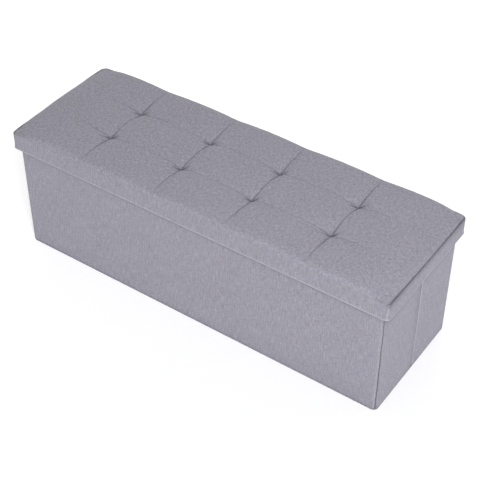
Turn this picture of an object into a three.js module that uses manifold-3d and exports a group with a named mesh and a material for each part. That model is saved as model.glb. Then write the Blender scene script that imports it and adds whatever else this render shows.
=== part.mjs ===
// Collapsible storage bench with a tufted lift-off lid.
// Millimetres, +Z up. The origin is the centre of the footprint, on the floor.
// X runs along the bench, -Y is the front and +Y the back.
import * as THREE from 'three';
import { mergeVertices } from 'three/addons/utils/BufferGeometryUtils.js';
import Module from 'manifold-3d';

const wasm = await Module();
wasm.setup();

// Driving dimensions
const LID_LENGTH = 1143;
const LID_WIDTH = 381;
const TOTAL_HEIGHT = 388;
const LID_OVERHANG = 11.5;
const SKIRT_BOTTOM = 325;
const RIM_SEAM_HEIGHT = 373;
const WALL_THICKNESS = 8;

// Cloth, boards and the room between touching pieces
const CLOTH = 1;
const THIN_CLOTH = 0.6;
const GAP = 0.3;
const LID_BOARD_THICKNESS = 9;
const STRIP_THICKNESS = 5;
const BASE_BOARD_THICKNESS = 2;
const SEWN_GAP = 1;

// Rounding
const LID_CORNER = 12;
const LID_EDGE = 9;
const BODY_CORNER = 6;
const BEVEL_STEPS = 3;
const ARC_STEPS = 3;
const WELD_DISTANCE = 1e-4; // points closer than this count as one

// Tufts: four across the length, two across the width
const TUFT_COLUMNS = 4;
const TUFT_ROWS = 2;
const TUFT_FLOOR = 374.5;
const TUFT_FLOOR_RADIUS = 4;
const TUFT_MOUTH_RADIUS = 34;
const TUFT_SEGMENTS = 16;
const THREAD_RADIUS = 1.2;
const THREAD_HOLE_RADIUS = 2.5;
const KNOT_RADIUS = 6;
const KNOT_THICKNESS = 1.6;
const KNOT_POCKET_RADIUS = 7;
const KNOT_POCKET_DEPTH = 2.2;
const FOAM_HOLE_RADIUS = 6;
const CUT_PAST = 2; // how far a cutting body runs past the piece that it cuts

// Heights and lengths that follow from them
const BODY_LENGTH = LID_LENGTH - 2 * LID_OVERHANG;
const BODY_WIDTH = LID_WIDTH - 2 * LID_OVERHANG;
const LID_BOARD_TOP = TUFT_FLOOR - CLOTH - 3 * GAP;
const LID_BOARD_BOTTOM = LID_BOARD_TOP - LID_BOARD_THICKNESS;
const LID_LINING_TOP = LID_BOARD_BOTTOM - GAP;
const LID_LINING_BOTTOM = LID_LINING_TOP - THIN_CLOTH;
const WALL_TOP = LID_LINING_BOTTOM - GAP;
const BASE_BOARD_BOTTOM = THIN_CLOTH + GAP;
const BASE_LINING_BOTTOM = BASE_BOARD_BOTTOM + BASE_BOARD_THICKNESS + GAP;
const BASE_TOP = BASE_LINING_BOTTOM + THIN_CLOTH;
const WALL_BOTTOM = BASE_TOP + GAP;
const LAYER = CLOTH + GAP;
const HALF_PANEL_EDGE = LAYER + GAP; // rounding of an end panel's upright edges
const CHANNEL_WIDTH = STRIP_THICKNESS + 2 * LAYER;
const INNER_WIDTH = BODY_WIDTH - 2 * WALL_THICKNESS;
const HALF_LENGTH = INNER_WIDTH / 2 - SEWN_GAP - SEWN_GAP / 2;
const HALF_CENTRE = SEWN_GAP / 2 + HALF_LENGTH / 2;

const FABRIC = { color: 0x9d9aa4, roughness: 0.95, metalness: 0 };
const LINING = { color: 0x4c4b50, roughness: 0.95, metalness: 0 };
const BOARD = { color: 0xb48e63, roughness: 0.8, metalness: 0 };
const FOAM = { color: 0xe9e2c8, roughness: 0.9, metalness: 0 };
const THREAD = { color: 0x8f8d96, roughness: 0.85, metalness: 0 };

function toSolid(geometry) {
  const bare = geometry.clone();
  bare.deleteAttribute('normal');
  bare.deleteAttribute('uv');
  const merged = mergeVertices(bare, WELD_DISTANCE);
  return new wasm.Manifold(new wasm.Mesh({
    numProp: 3,
    vertProperties: new Float32Array(merged.attributes.position.array),
    triVerts: new Uint32Array(merged.index.array),
  }));
}

function toGeometry(solid) {
  const { numProp, vertProperties, triVerts } = solid.getMesh();
  const positions = new Float32Array((vertProperties.length / numProp) * 3);
  for (let i = 0; i < positions.length / 3; i += 1) {
    positions.set(vertProperties.subarray(i * numProp, i * numProp + 3), i * 3);
  }
  const geometry = new THREE.BufferGeometry();
  geometry.setAttribute('position', new THREE.BufferAttribute(positions, 3));
  geometry.setIndex(new THREE.BufferAttribute(new Uint32Array(triVerts), 1));
  geometry.computeVertexNormals();
  return geometry;
}

function named(name, geometry, look) {
  const mesh = new THREE.Mesh(geometry, new THREE.MeshStandardMaterial(look));
  mesh.name = name;
  return mesh;
}

function block([x0, x1], [y0, y1], [z0, z1]) {
  const geometry = new THREE.BoxGeometry(x1 - x0, y1 - y0, z1 - z0);
  return geometry.translate((x0 + x1) / 2, (y0 + y1) / 2, (z0 + z1) / 2);
}

function roundedRectangle(length, width, radius) {
  const x = length / 2;
  const y = width / 2;
  const shape = new THREE.Shape();
  shape.absarc(x - radius, -y + radius, radius, -Math.PI / 2, 0, false);
  shape.absarc(x - radius, y - radius, radius, 0, Math.PI / 2, false);
  shape.absarc(-x + radius, y - radius, radius, Math.PI / 2, Math.PI, false);
  shape.absarc(-x + radius, -y + radius, radius, Math.PI, 1.5 * Math.PI, false);
  return shape;
}

function prism(shape, bottom, top) {
  const options = { depth: top - bottom, bevelEnabled: false, curveSegments: ARC_STEPS };
  return new THREE.ExtrudeGeometry(shape, options).translate(0, 0, bottom);
}

// The plan of the lid, pulled in by inset on every side
function lidPlan(inset) {
  return roundedRectangle(LID_LENGTH - 2 * inset, LID_WIDTH - 2 * inset, LID_CORNER - inset);
}

function bodyPlan(inset) {
  return roundedRectangle(BODY_LENGTH - 2 * inset, BODY_WIDTH - 2 * inset, BODY_CORNER - inset);
}

// A slab on the lid's plan with a rounded edge round its top
function paddedSlab(inset, bottom) {
  const edge = LID_EDGE - inset;
  const core = roundedRectangle(
    LID_LENGTH - 2 * LID_EDGE,
    LID_WIDTH - 2 * LID_EDGE,
    LID_CORNER - LID_EDGE,
  );
  const top = TOTAL_HEIGHT - inset;
  const depth = top - bottom;
  const slab = new THREE.ExtrudeGeometry(core, {
    depth,
    bevelThickness: edge,
    bevelSize: edge,
    bevelSegments: BEVEL_STEPS,
    curveSegments: ARC_STEPS,
  });
  slab.translate(0, 0, bottom - edge);
  const half = block(
    [-LID_LENGTH, LID_LENGTH],
    [-LID_WIDTH, LID_WIDTH],
    [bottom, TOTAL_HEIGHT + CUT_PAST],
  );
  return toSolid(slab).intersect(toSolid(half));
}

function tuftPlaces() {
  const places = [];
  for (let row = 1; row <= TUFT_ROWS; row += 1) {
    for (let column = 1; column <= TUFT_COLUMNS; column += 1) {
      places.push([
        LID_LENGTH * (column / (TUFT_COLUMNS + 1) - 0.5),
        LID_WIDTH * (row / (TUFT_ROWS + 1) - 0.5),
      ]);
    }
  }
  return places;
}

function upright(topRadius, bottomRadius, bottom, top, [x, y]) {
  const geometry = new THREE.CylinderGeometry(topRadius, bottomRadius, top - bottom, TUFT_SEGMENTS);
  return geometry.rotateX(Math.PI / 2).translate(x, y, (bottom + top) / 2);
}

function cutAtTufts(solid, tool) {
  return tuftPlaces().reduce((rest, place) => rest.subtract(toSolid(tool(place))), solid);
}

// The well of a tuft, made wider and deeper by inset for a layer further in
function tuftWell(inset, place) {
  const slope = (TUFT_MOUTH_RADIUS - TUFT_FLOOR_RADIUS) / (TOTAL_HEIGHT - TUFT_FLOOR);
  const floor = TUFT_FLOOR - inset;
  const top = TOTAL_HEIGHT + CUT_PAST;
  const floorRadius = TUFT_FLOOR_RADIUS + inset;
  return upright(floorRadius + slope * (top - floor), floorRadius, floor, top, place);
}

function seatCover() {
  const outside = cutAtTufts(paddedSlab(0, RIM_SEAM_HEIGHT + GAP), (place) => tuftWell(0, place));
  const hollow = paddedSlab(CLOTH, RIM_SEAM_HEIGHT - 2 * CLOTH);
  const inside = cutAtTufts(hollow, (place) => tuftWell(CLOTH, place));
  return toGeometry(outside.subtract(inside));
}

function seatFoam() {
  const slab = paddedSlab(LAYER, LID_BOARD_TOP + GAP);
  const dimpled = cutAtTufts(slab, (place) => tuftWell(LAYER, place));
  return toGeometry(cutAtTufts(dimpled, (place) => (
    upright(FOAM_HOLE_RADIUS, FOAM_HOLE_RADIUS, LID_BOARD_TOP - CUT_PAST, TUFT_FLOOR + GAP, place)
  )));
}

function lidBoard() {
  const inset = STRIP_THICKNESS + LAYER + GAP;
  const solid = toSolid(prism(lidPlan(inset), LID_BOARD_BOTTOM, LID_BOARD_TOP));
  const low = LID_BOARD_BOTTOM - CUT_PAST;
  const high = LID_BOARD_TOP + CUT_PAST;
  const drilled = cutAtTufts(solid, (place) => (
    upright(THREAD_HOLE_RADIUS, THREAD_HOLE_RADIUS, low, high, place)
  ));
  const pocketTop = LID_BOARD_BOTTOM + KNOT_POCKET_DEPTH;
  return toGeometry(cutAtTufts(drilled, (place) => (
    upright(KNOT_POCKET_RADIUS, KNOT_POCKET_RADIUS, low, pocketTop, place)
  )));
}

function tuftTie() {
  const knotBottom = LID_BOARD_BOTTOM + GAP;
  const knotTop = knotBottom + KNOT_THICKNESS;
  const threadTop = TUFT_FLOOR - CLOTH - GAP;
  const profile = [
    [0, knotBottom],
    [KNOT_RADIUS, knotBottom],
    [KNOT_RADIUS, knotTop],
    [THREAD_RADIUS, knotTop],
    [THREAD_RADIUS, threadTop],
    [0, threadTop],
  ].map(([radius, height]) => new THREE.Vector2(radius, height));
  return new THREE.LatheGeometry(profile, TUFT_SEGMENTS).rotateX(Math.PI / 2);
}

// A side of the lid's frame: the part of a bar that lies inside the lid's rounded plan.
// The long sides take the corners, so the short sides fit between them.
function alongFront(inset, width, bottom, top) {
  const x = LID_LENGTH / 2;
  const y = -LID_WIDTH / 2;
  const bar = block([-x, x], [y + inset, y + inset + width], [bottom, top]);
  return toSolid(bar).intersect(toSolid(prism(lidPlan(inset), bottom, top)));
}

function alongEnd(inset, width, bottom, top) {
  const x = LID_LENGTH / 2;
  const y = LID_WIDTH / 2 - CHANNEL_WIDTH - GAP;
  const bar = block([x - inset - width, x - inset], [-y, y], [bottom, top]);
  return toSolid(bar).intersect(toSolid(prism(lidPlan(inset), bottom, top)));
}

// A channel of cloth round a strip: open above, with its inner side turned up less far
function skirtCover(along) {
  const body = along(0, CHANNEL_WIDTH, SKIRT_BOTTOM, RIM_SEAM_HEIGHT);
  const innerTop = LID_LINING_BOTTOM - GAP;
  const cavity = along(CLOTH, STRIP_THICKNESS + 2 * GAP, SKIRT_BOTTOM + CLOTH, TOTAL_HEIGHT);
  const above = along(CLOTH, CHANNEL_WIDTH, innerTop, TOTAL_HEIGHT);
  return toGeometry(body.subtract(cavity).subtract(above));
}

function skirtStrip(along) {
  return toGeometry(along(LAYER, STRIP_THICKNESS, SKIRT_BOTTOM + LAYER, LID_BOARD_TOP));
}

function lidGroup() {
  const lid = new THREE.Group();
  lid.add(named('lid_board', lidBoard(), BOARD));
  lid.add(named('seat_foam', seatFoam(), FOAM));
  lid.add(named('seat_cover', seatCover(), FABRIC));
  const liningPlan = lidPlan(CHANNEL_WIDTH + GAP);
  lid.add(named('lid_lining', prism(liningPlan, LID_LINING_BOTTOM, LID_LINING_TOP), LINING));
  const sides = [
    ['front', alongFront, 0],
    ['back', alongFront, Math.PI],
    ['right', alongEnd, 0],
    ['left', alongEnd, Math.PI],
  ];
  for (const [side, along, turn] of sides) {
    const strip = named(`skirt_strip_${side}`, skirtStrip(along), BOARD);
    const cover = named(`skirt_cover_${side}`, skirtCover(along), FABRIC);
    strip.rotation.z = turn;
    cover.rotation.z = turn;
    lid.add(strip, cover);
  }
  tuftPlaces().forEach(([x, y], index) => {
    const tie = named(`tuft_tie_${index + 1}`, tuftTie(), THREAD);
    tie.position.set(x, y, 0);
    lid.add(tie);
  });
  return lid;
}

// The plan of a wall layer: outer face from y = front, inner face at y = back, outer edges rounded
function wallPlan(length, front, back, radius) {
  const x = length / 2;
  const shape = new THREE.Shape();
  shape.moveTo(x, back);
  shape.lineTo(-x, back);
  shape.absarc(-x + radius, front + radius, radius, Math.PI, 1.5 * Math.PI, false);
  shape.absarc(x - radius, front + radius, radius, -Math.PI / 2, 0, false);
  return shape;
}

// A wall in its own frame: X along it, the outer face at y = 0 and the inner face behind it
function wall(name, length, radius) {
  const group = new THREE.Group();
  const outline = (inset, back) => (
    wallPlan(length - 2 * inset, inset, back, radius - inset)
  );
  const shell = toSolid(prism(outline(0, WALL_THICKNESS), WALL_BOTTOM, WALL_TOP));
  const hollow = toSolid(prism(
    outline(CLOTH, WALL_THICKNESS + CUT_PAST),
    WALL_BOTTOM + CLOTH,
    WALL_TOP - CLOTH,
  ));
  const board = prism(outline(LAYER, WALL_THICKNESS - LAYER), WALL_BOTTOM + LAYER, WALL_TOP - LAYER);
  const lining = block(
    [-length / 2 + LAYER, length / 2 - LAYER],
    [WALL_THICKNESS - CLOTH, WALL_THICKNESS],
    [WALL_BOTTOM + LAYER, WALL_TOP - LAYER],
  );
  group.add(named(`${name}_cover`, toGeometry(shell.subtract(hollow)), FABRIC));
  group.add(named(`${name}_board`, board, BOARD));
  group.add(named(`${name}_lining`, lining, LINING));
  return group;
}

function placed(group, x, y, turn) {
  group.position.set(x, y, 0);
  group.rotation.z = turn;
  return group;
}

function baseGroup() {
  const base = new THREE.Group();
  const tray = toSolid(prism(bodyPlan(0), 0, BASE_TOP));
  const inside = toSolid(prism(bodyPlan(CLOTH), THIN_CLOTH, BASE_TOP + CUT_PAST));
  const boardTop = BASE_BOARD_BOTTOM + BASE_BOARD_THICKNESS;
  base.add(named('base_cover', toGeometry(tray.subtract(inside)), FABRIC));
  base.add(named('base_board', prism(bodyPlan(LAYER), BASE_BOARD_BOTTOM, boardTop), BOARD));
  base.add(named('base_lining', prism(bodyPlan(LAYER), BASE_LINING_BOTTOM, BASE_TOP), LINING));
  return base;
}

function boxGroup() {
  const box = new THREE.Group();
  const x = BODY_LENGTH / 2;
  const y = BODY_WIDTH / 2;
  const quarter = Math.PI / 2;
  box.add(placed(wall('front', BODY_LENGTH, BODY_CORNER), 0, -y, 0));
  box.add(placed(wall('back', BODY_LENGTH, BODY_CORNER), 0, y, Math.PI));
  for (const [depth, sign] of [['front', -1], ['rear', 1]]) {
    const right = wall(`right_${depth}`, HALF_LENGTH, HALF_PANEL_EDGE);
    const left = wall(`left_${depth}`, HALF_LENGTH, HALF_PANEL_EDGE);
    box.add(placed(right, x, sign * HALF_CENTRE, quarter));
    box.add(placed(left, -x, sign * HALF_CENTRE, -quarter));
  }
  box.add(baseGroup());
  return box;
}

const bench = new THREE.Group();
bench.add(boxGroup());
bench.add(lidGroup());

export default bench;
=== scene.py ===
import functools
import math

import bpy
import numpy as np
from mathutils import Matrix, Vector


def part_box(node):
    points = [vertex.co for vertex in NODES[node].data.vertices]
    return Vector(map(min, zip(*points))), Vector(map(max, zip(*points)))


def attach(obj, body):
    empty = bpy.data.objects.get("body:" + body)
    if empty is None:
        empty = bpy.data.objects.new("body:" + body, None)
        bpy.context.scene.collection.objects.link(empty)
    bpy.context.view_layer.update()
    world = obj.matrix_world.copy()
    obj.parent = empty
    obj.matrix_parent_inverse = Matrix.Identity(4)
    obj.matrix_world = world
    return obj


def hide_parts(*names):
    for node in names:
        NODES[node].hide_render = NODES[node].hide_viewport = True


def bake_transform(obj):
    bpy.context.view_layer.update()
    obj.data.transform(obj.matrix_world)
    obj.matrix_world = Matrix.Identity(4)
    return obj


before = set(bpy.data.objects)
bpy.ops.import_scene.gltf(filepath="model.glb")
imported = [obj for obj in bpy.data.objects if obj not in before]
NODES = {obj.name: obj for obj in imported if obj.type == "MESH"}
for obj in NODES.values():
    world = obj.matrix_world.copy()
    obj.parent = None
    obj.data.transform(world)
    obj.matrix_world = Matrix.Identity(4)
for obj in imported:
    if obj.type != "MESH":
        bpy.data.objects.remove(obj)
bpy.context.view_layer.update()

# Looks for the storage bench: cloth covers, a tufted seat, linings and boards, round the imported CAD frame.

# ---------------------------------------------------------------- sizes, in metres

MM = 0.001
SEAT_LOW, SEAT_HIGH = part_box("seat_cover")
HALF_X, HALF_Y = SEAT_HIGH.x, SEAT_HIGH.y
RIM = SEAT_LOW.z
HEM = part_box("skirt_cover_front")[0].z
CHANNEL = SEAT_HIGH.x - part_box("skirt_cover_right")[0].x
BODY_LOW, BODY_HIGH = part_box("front_cover")[0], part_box("back_cover")[1]
WALL_BOTTOM, WALL_TOP = BODY_LOW.z, BODY_HIGH.z
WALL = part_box("front_cover")[1].y - BODY_LOW.y
BOARD_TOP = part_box("lid_board")[1].z

CROWN = SEAT_HIGH.z + 0.5 * MM
LID_CORNER = 12.2 * MM
BODY_CORNER = 13.5 * MM
OPEN_CORNER = 7.2 * MM
CLOTH = 0.6 * MM
TUFT_COLUMNS, TUFT_ROWS = 4, 2
TUFT_PULL = [7 * MM, 8 * MM, -3 * MM, -3 * MM]
TUFT_X = [HALF_X * (2 * k / (TUFT_COLUMNS + 1) - 1) + TUFT_PULL[k - 1] for k in range(1, TUFT_COLUMNS + 1)]
TUFT_Y = [HALF_Y * (2 * k / (TUFT_ROWS + 1) - 1) for k in range(1, TUFT_ROWS + 1)]
TUFT_FLOOR = 374.2 * MM
SEAM = RIM + 2.2 * MM


# strengths of painted shade and highlights: 0 leaves the cloth's tone, 1 is the shade at the bottom of a
# fold, highlights lighten it

RIM_SHADE, RIM_END_SHADE = 0.06, 0.74
BAND_SHADE, BAND_END_SHADE, BAND_END_FALL_SHADE = 0.08, 0.60, 0.48
HEM_PAINTED_HIGHLIGHT, BAND_CORNER_PAINTED_HIGHLIGHT = 0.55, 0.3
SEAM_SHADE, SEAM_LOW_SHADE, SEAM_LOW_PAINTED_HIGHLIGHT = 0.12, 0.45, 0.22
NEAR_FLOOR_SHADE = 0.12
UNDER_HEM_FRONT_SHADE, UNDER_HEM_REAR_SHADE = 0.32, 0.22
CREASE_INNER_SHADE, CREASE_FRONT_SHADE, CREASE_FRONT_HIGH_SHADE = 0.65, 0.09, 0.27
CREASE_REAR_PAINTED_HIGHLIGHT, CREASE_REAR_HIGH_PAINTED_HIGHLIGHT = 0.35, 0.35
HINGE_SHADE = 0.6


# ---------------------------------------------------------------- mesh tools

def smooth(t):
    t = np.clip(t, 0, 1)
    return t * t * (3 - 2 * t)


def bell(distance, width, power=2):
    """1 at no distance, falling off over the width. A higher power gives a flatter top and a steeper side."""
    return np.exp(-(distance / width) ** power)


def ripple(at, wavelength, seed, waves=7):
    """A smooth wander between about -1 and 1 along a line or over a plane, the same on every run."""
    rng = np.random.default_rng(seed)
    at = np.asarray(at, float)
    flat = at[..., None] if at.ndim and at.shape[-1] not in (2, 3) or at.ndim == 1 else at
    total = 0
    for _ in range(waves):
        way = rng.normal(size=flat.shape[-1])
        way *= 2 * math.pi / (wavelength * rng.uniform(0.6, 1.7) * np.linalg.norm(way))
        total = total + np.sin(flat @ way + rng.uniform(0, 2 * math.pi))
    return total / math.sqrt(waves / 2) / 2


def add_object(name, data):
    made = bpy.data.objects.new(name, data)
    bpy.context.scene.collection.objects.link(made)
    return made


def add_piece(name, points, faces, material, cloth=None, shade=None):
    """A mesh object. cloth is the place on the flat cloth, in metres, of each corner of each face. shade goes
    into the
    crease attribute: painted shade up to 1, as at the bottom of a fold, and a painted highlight below 0."""
    mesh = bpy.data.meshes.new(name)
    mesh.from_pydata([tuple(p) for p in points], [], [tuple(int(i) for i in f) for f in faces])
    mesh.polygons.foreach_set("use_smooth", [True] * len(mesh.polygons))
    layer = mesh.uv_layers.new(name="cloth")
    if cloth is not None:
        layer.data.foreach_set("uv", np.asarray(cloth, np.float32).ravel())
    mesh.materials.append(material)
    if shade is not None:
        # the crease attribute holds the painted shade and painted highlights that the linen materials mix in
        crease = mesh.attributes.new("crease", "FLOAT", "POINT")
        crease.data.foreach_set("value", np.asarray(shade, np.float32))
    mesh.validate()
    mesh.update()
    piece = add_object(name, mesh)
    return piece


def grid_quads(rows, columns, ring=False):
    """Quads of a grid, as (row, column) pairs. On a ring, the columns run one past the end."""
    r, c = np.meshgrid(np.arange(rows - 1), np.arange(columns if ring else columns - 1), indexing="ij")
    r, c = r.ravel(), c.ravel()
    return np.stack([np.stack(pair, 1) for pair in ((r, c), (r + 1, c), (r + 1, c + 1), (r, c + 1))], 1)


def grid_normals(points, ring=False):
    down = np.gradient(points, axis=0)
    right = np.gradient(points, axis=1)
    if ring:
        right = (np.roll(points, -1, axis=1) - np.roll(points, 1, axis=1)) / 2
    n = np.cross(down, right)
    return n / np.maximum(np.linalg.norm(n, axis=-1, keepdims=True), 1e-12)


def lengths(points):
    """Distance along a row of points, from 0."""
    steps = np.linalg.norm(np.diff(points, axis=0), axis=1)
    return np.concatenate([[0], np.cumsum(steps)])


def sheet_mesh(points, thickness, across, along, ring=False):
    """A closed sheet of that thickness: the grid, the same grid pushed in, and a strip round the border.
    A ring closes on itself along its rows, and its along has one value more than it has columns."""
    rows, columns = points.shape[:2]
    inner = points - grid_normals(points, ring) * thickness
    quads = grid_quads(rows, columns, ring)
    index = quads[..., 0] * columns + quads[..., 1] % columns
    total = rows * columns
    cloth = np.stack([along[quads[..., 1]], across[quads[..., 0]]], -1)
    if ring:
        steps = [((0, c), (0, c + 1)) for c in range(columns)]
        steps += [((rows - 1, c + 1), (rows - 1, c)) for c in range(columns)]
    else:
        edge = [(0, c) for c in range(columns)] + [(r, columns - 1) for r in range(1, rows)]
        edge += [(rows - 1, c) for c in range(columns - 2, -1, -1)] + [(r, 0) for r in range(rows - 2, 0, -1)]
        steps = list(zip(edge, edge[1:] + edge[:1]))
    rim, rim_cloth = [], []
    for (r0, c0), (r1, c1) in steps:
        a, b = r0 * columns + c0 % columns, r1 * columns + c1 % columns
        rim.append((b, a, a + total, b + total))
        start, end = (along[c0], across[r0]), (along[c1], across[r1])
        rim_cloth.append([end, start, start, end])
    faces = np.concatenate([index, index[:, ::-1] + total, np.array(rim)])
    maps = np.concatenate([cloth, cloth[:, ::-1], np.array(rim_cloth)]).reshape(-1, 2)
    return np.concatenate([points.reshape(-1, 3), inner.reshape(-1, 3)]), faces, maps


def ring_round(centre, way, across, radius, sides):
    up = way.cross(across)
    turns = [2 * math.pi * k / sides for k in range(sides)]
    return [centre + (across * math.cos(turn) + up * math.sin(turn)) * radius for turn in turns]


STITCH_SIDES = 6
STITCH_POINT = 0.32


def stitch_mesh(places, ways, length, radius):
    """Short round stitches at the places and along the ways. Their ends narrow to a point from STITCH_POINT
    of their length outwards."""
    points, faces = [], []
    for place, way in zip(places, ways):
        way, middle = Vector(way).normalized(), Vector(place)
        across = way.orthogonal().normalized()
        first = len(points)
        points.append(middle - way * length / 2)
        for shift in (-STITCH_POINT, STITCH_POINT):
            points += ring_round(middle + way * length * shift, way, across, radius, STITCH_SIDES)
        points.append(middle + way * length / 2)
        last = len(points) - 1
        for k in range(STITCH_SIDES):
            a, b = first + 1 + k, first + 1 + (k + 1) % STITCH_SIDES
            c, d = b + STITCH_SIDES, a + STITCH_SIDES
            faces += [(first, b, a), (a, b, c, d), (d, c, last)]
    return points, faces


def add_stitches(name, places, ways, body, length=3.4 * MM, radius=0.32 * MM):
    points, faces = stitch_mesh(places, ways, length, radius)
    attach(add_piece(name, points, faces, THREAD), body)


# ---------------------------------------------------------------- materials

def put(tree, socket, value):
    """Sets an input to a value, or links an output to it."""
    if isinstance(value, bpy.types.NodeSocket):
        tree.links.new(value, socket)
    else:
        socket.default_value = value


def node(tree, kind, inputs=None, **settings):
    """A shader node. inputs has the value or the output for each input, by its name or number."""
    made = tree.nodes.new("ShaderNode" + kind)
    for key, value in settings.items():
        setattr(made, key, value)
    for key, value in (inputs or {}).items():
        put(tree, made.inputs[key], value)
    return made


def new_material(name, roughness, sheen=0.0):
    made = bpy.data.materials.new(name)
    made.use_nodes = True
    shader = made.node_tree.nodes["Principled BSDF"]
    looks = {"Roughness": roughness, "Sheen Weight": sheen,
             "Specular IOR Level": 0.25, "Sheen Roughness": 0.45}
    for key, value in looks.items():
        shader.inputs[key].default_value = value
    return made, made.node_tree, shader


def scaled_place(tree, place, scale):
    return node(tree, "Mapping", {"Vector": place, "Scale": scale}, vector_type="TEXTURE").outputs["Vector"]


def noise(tree, place, scale, detail=2.0, roughness=0.5):
    """Perlin noise, 0 to 1, whose features have the given size in metres along each axis."""
    inputs = {"Scale": 1.0, "Detail": detail, "Roughness": roughness}
    inputs["Vector"] = scaled_place(tree, place, scale)
    return node(tree, "TexNoise", inputs).outputs["Fac"]


def calc(tree, operation, *terms):
    return node(tree, "Math", dict(enumerate(terms)), operation=operation).outputs[0]


def weighted(tree, *terms):
    """0.5 and the sum of weight * (value - 0.5) over the terms."""
    total = 0.5
    for weight, value in terms:
        total = calc(tree, "ADD", total, calc(tree, "MULTIPLY_ADD", value, weight, -0.5 * weight))
    return total


def ramp(tree, value, *stops):
    made = node(tree, "ValToRGB", {"Fac": value})
    bar = made.color_ramp
    while len(bar.elements) < len(stops):
        bar.elements.new(0.5)
    for element, (position, colour) in zip(bar.elements, stops):
        element.position = position
        element.color = (*colour, 1)
    return made.outputs["Color"]


def cloth_place(tree):
    return node(tree, "UVMap", uv_map="cloth").outputs["UV"]


def object_place(tree):
    return node(tree, "TexCoord").outputs["Object"]


def set_look(tree, shader, colour, height, distance, strength):
    bump = node(tree, "Bump", {"Height": height, "Distance": distance, "Strength": strength})
    tree.links.new(colour, shader.inputs["Base Color"])
    tree.links.new(bump.outputs["Normal"], shader.inputs["Normal"])


def weave_height(tree, place, pitch):
    """A plain weave, 0 to 1: threads of both directions that pass over and under each other."""
    split = node(tree, "SeparateXYZ", {0: place})
    turn = 2 * math.pi / pitch
    across, along = [calc(tree, "SINE", calc(tree, "MULTIPLY", split.outputs[axis], turn)) for axis in (0, 1)]
    return calc(tree, "MULTIPLY_ADD", calc(tree, "MULTIPLY", across, along), 0.5, 0.5)


LINEN_TONES = ((0.176, 0.170, 0.200), (0.290, 0.279, 0.322), (0.420, 0.408, 0.462))
# colours that the painted shade and the painted highlight mix towards: the dark tone times the first, the
# light tone times the second
PAINTED_SHADE_TONE, PAINTED_HIGHLIGHT_TONE = 0.30, 1.12


def linen(name, place_from, streak, shade):
    """Heathered linen-look cloth: slubs both ways, a plain weave, and a slow drift of tone. streak draws it
    out along one thread, and shade scales its colours."""
    made, tree, shader = new_material(name, 0.92, sheen=0.18)
    place = place_from(tree)
    warp = noise(tree, place, (1.0 * MM, 6.5 * MM, 1), 3, 0.62)
    weft = noise(tree, place, (6.5 * MM, 1.0 * MM, 1), 3, 0.62)
    slub = noise(tree, place, (2.4 * MM, (9 + 24 * streak) * MM, 1), 2, 0.6)
    cross_slub = noise(tree, place, (9 * MM, 2.2 * MM, 1), 2, 0.55)
    speck = noise(tree, place, (2.4 * MM, 2.4 * MM, 1), 2, 0.6)
    blotch = noise(tree, place, (8 * MM, 9 * MM, 1), 2, 0.5)
    drift = noise(tree, place, (90 * MM, 140 * MM, 1), 2, 0.5)
    weave = weave_height(tree, place, 1.5 * MM)
    tone = weighted(
        tree, (1.5 - 0.6 * streak, warp), (1.5 - 0.9 * streak, weft), (0.8 + 0.3 * streak, slub),
        (0.75 - 0.35 * streak, cross_slub), (1.3 - 0.6 * streak, speck), (0.55 - 0.25 * streak, blotch),
        (0.14, drift), (0.22, weave))
    dark, mid, light = [tuple(shade * c for c in colour) for colour in LINEN_TONES]
    colour = ramp(tree, tone, (0.0, dark), (0.5, mid), (1.0, light))
    # painted shade and painted highlight: where the crease attribute is above 0 the colour mixes towards the
    # darkened dark tone, below 0 towards the brightened light tone
    fold = node(tree, "Attribute", attribute_name="crease").outputs["Fac"]
    for share, end, scale in ((fold, dark, PAINTED_SHADE_TONE), (calc(tree, "MULTIPLY", fold, -1), light, PAINTED_HIGHLIGHT_TONE)):
        inputs = {0: share, 6: colour, 7: (*[scale * c for c in end], 1)}
        colour = node(tree, "Mix", inputs, data_type="RGBA").outputs[2]
    shader.inputs["Sheen Tint"].default_value = (0.80, 0.79, 0.88, 1)
    height = weighted(tree, (0.6, weave), (0.5, warp), (0.4, weft), (0.3, slub))
    set_look(tree, shader, colour, height, 0.35 * MM, 0.7)
    return made


def nonwoven():
    """Pressed non-woven lining: fibres and a grid of small welded dots."""
    made, tree, shader = new_material("nonwoven", 0.88, sheen=0.1)
    place = object_place(tree)
    fibres = noise(tree, place, (2.5 * MM, 2.5 * MM, 2.5 * MM), 5, 0.7)
    cloud = noise(tree, place, (45 * MM, 45 * MM, 45 * MM), 3, 0.5)
    inputs = {"Vector": scaled_place(tree, place, (2.6 * MM,) * 3), "Scale": 1.0, "Randomness": 0.15}
    dots = node(tree, "TexVoronoi", inputs)
    weld = calc(tree, "LESS_THAN", dots.outputs["Distance"], 0.28)
    tone = weighted(tree, (0.5, fibres), (0.25, cloud))
    tone = calc(tree, "MULTIPLY_ADD", weld, -0.16, tone)
    colour = ramp(tree, tone, (0.1, (0.050, 0.049, 0.054)), (0.9, (0.115, 0.112, 0.122)))
    height = calc(tree, "MULTIPLY_ADD", weld, -0.6, fibres)
    set_look(tree, shader, colour, height, 0.2 * MM, 0.6)
    return made


def fibreboard():
    """Bare medium-density fibreboard: fine chips, slightly darker mottling."""
    made, tree, shader = new_material("fibreboard", 0.75)
    place = object_place(tree)
    chips = noise(tree, place, (1.2 * MM, 1.2 * MM, 0.6 * MM), 5, 0.75)
    mottle = noise(tree, place, (30 * MM, 30 * MM, 12 * MM), 3, 0.5)
    tone = weighted(tree, (0.7, chips), (0.4, mottle))
    colour = ramp(tree, tone, (0.1, (0.30, 0.19, 0.105)), (0.9, (0.56, 0.40, 0.25)))
    set_look(tree, shader, colour, chips, 0.15 * MM, 0.5)
    return made


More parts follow.
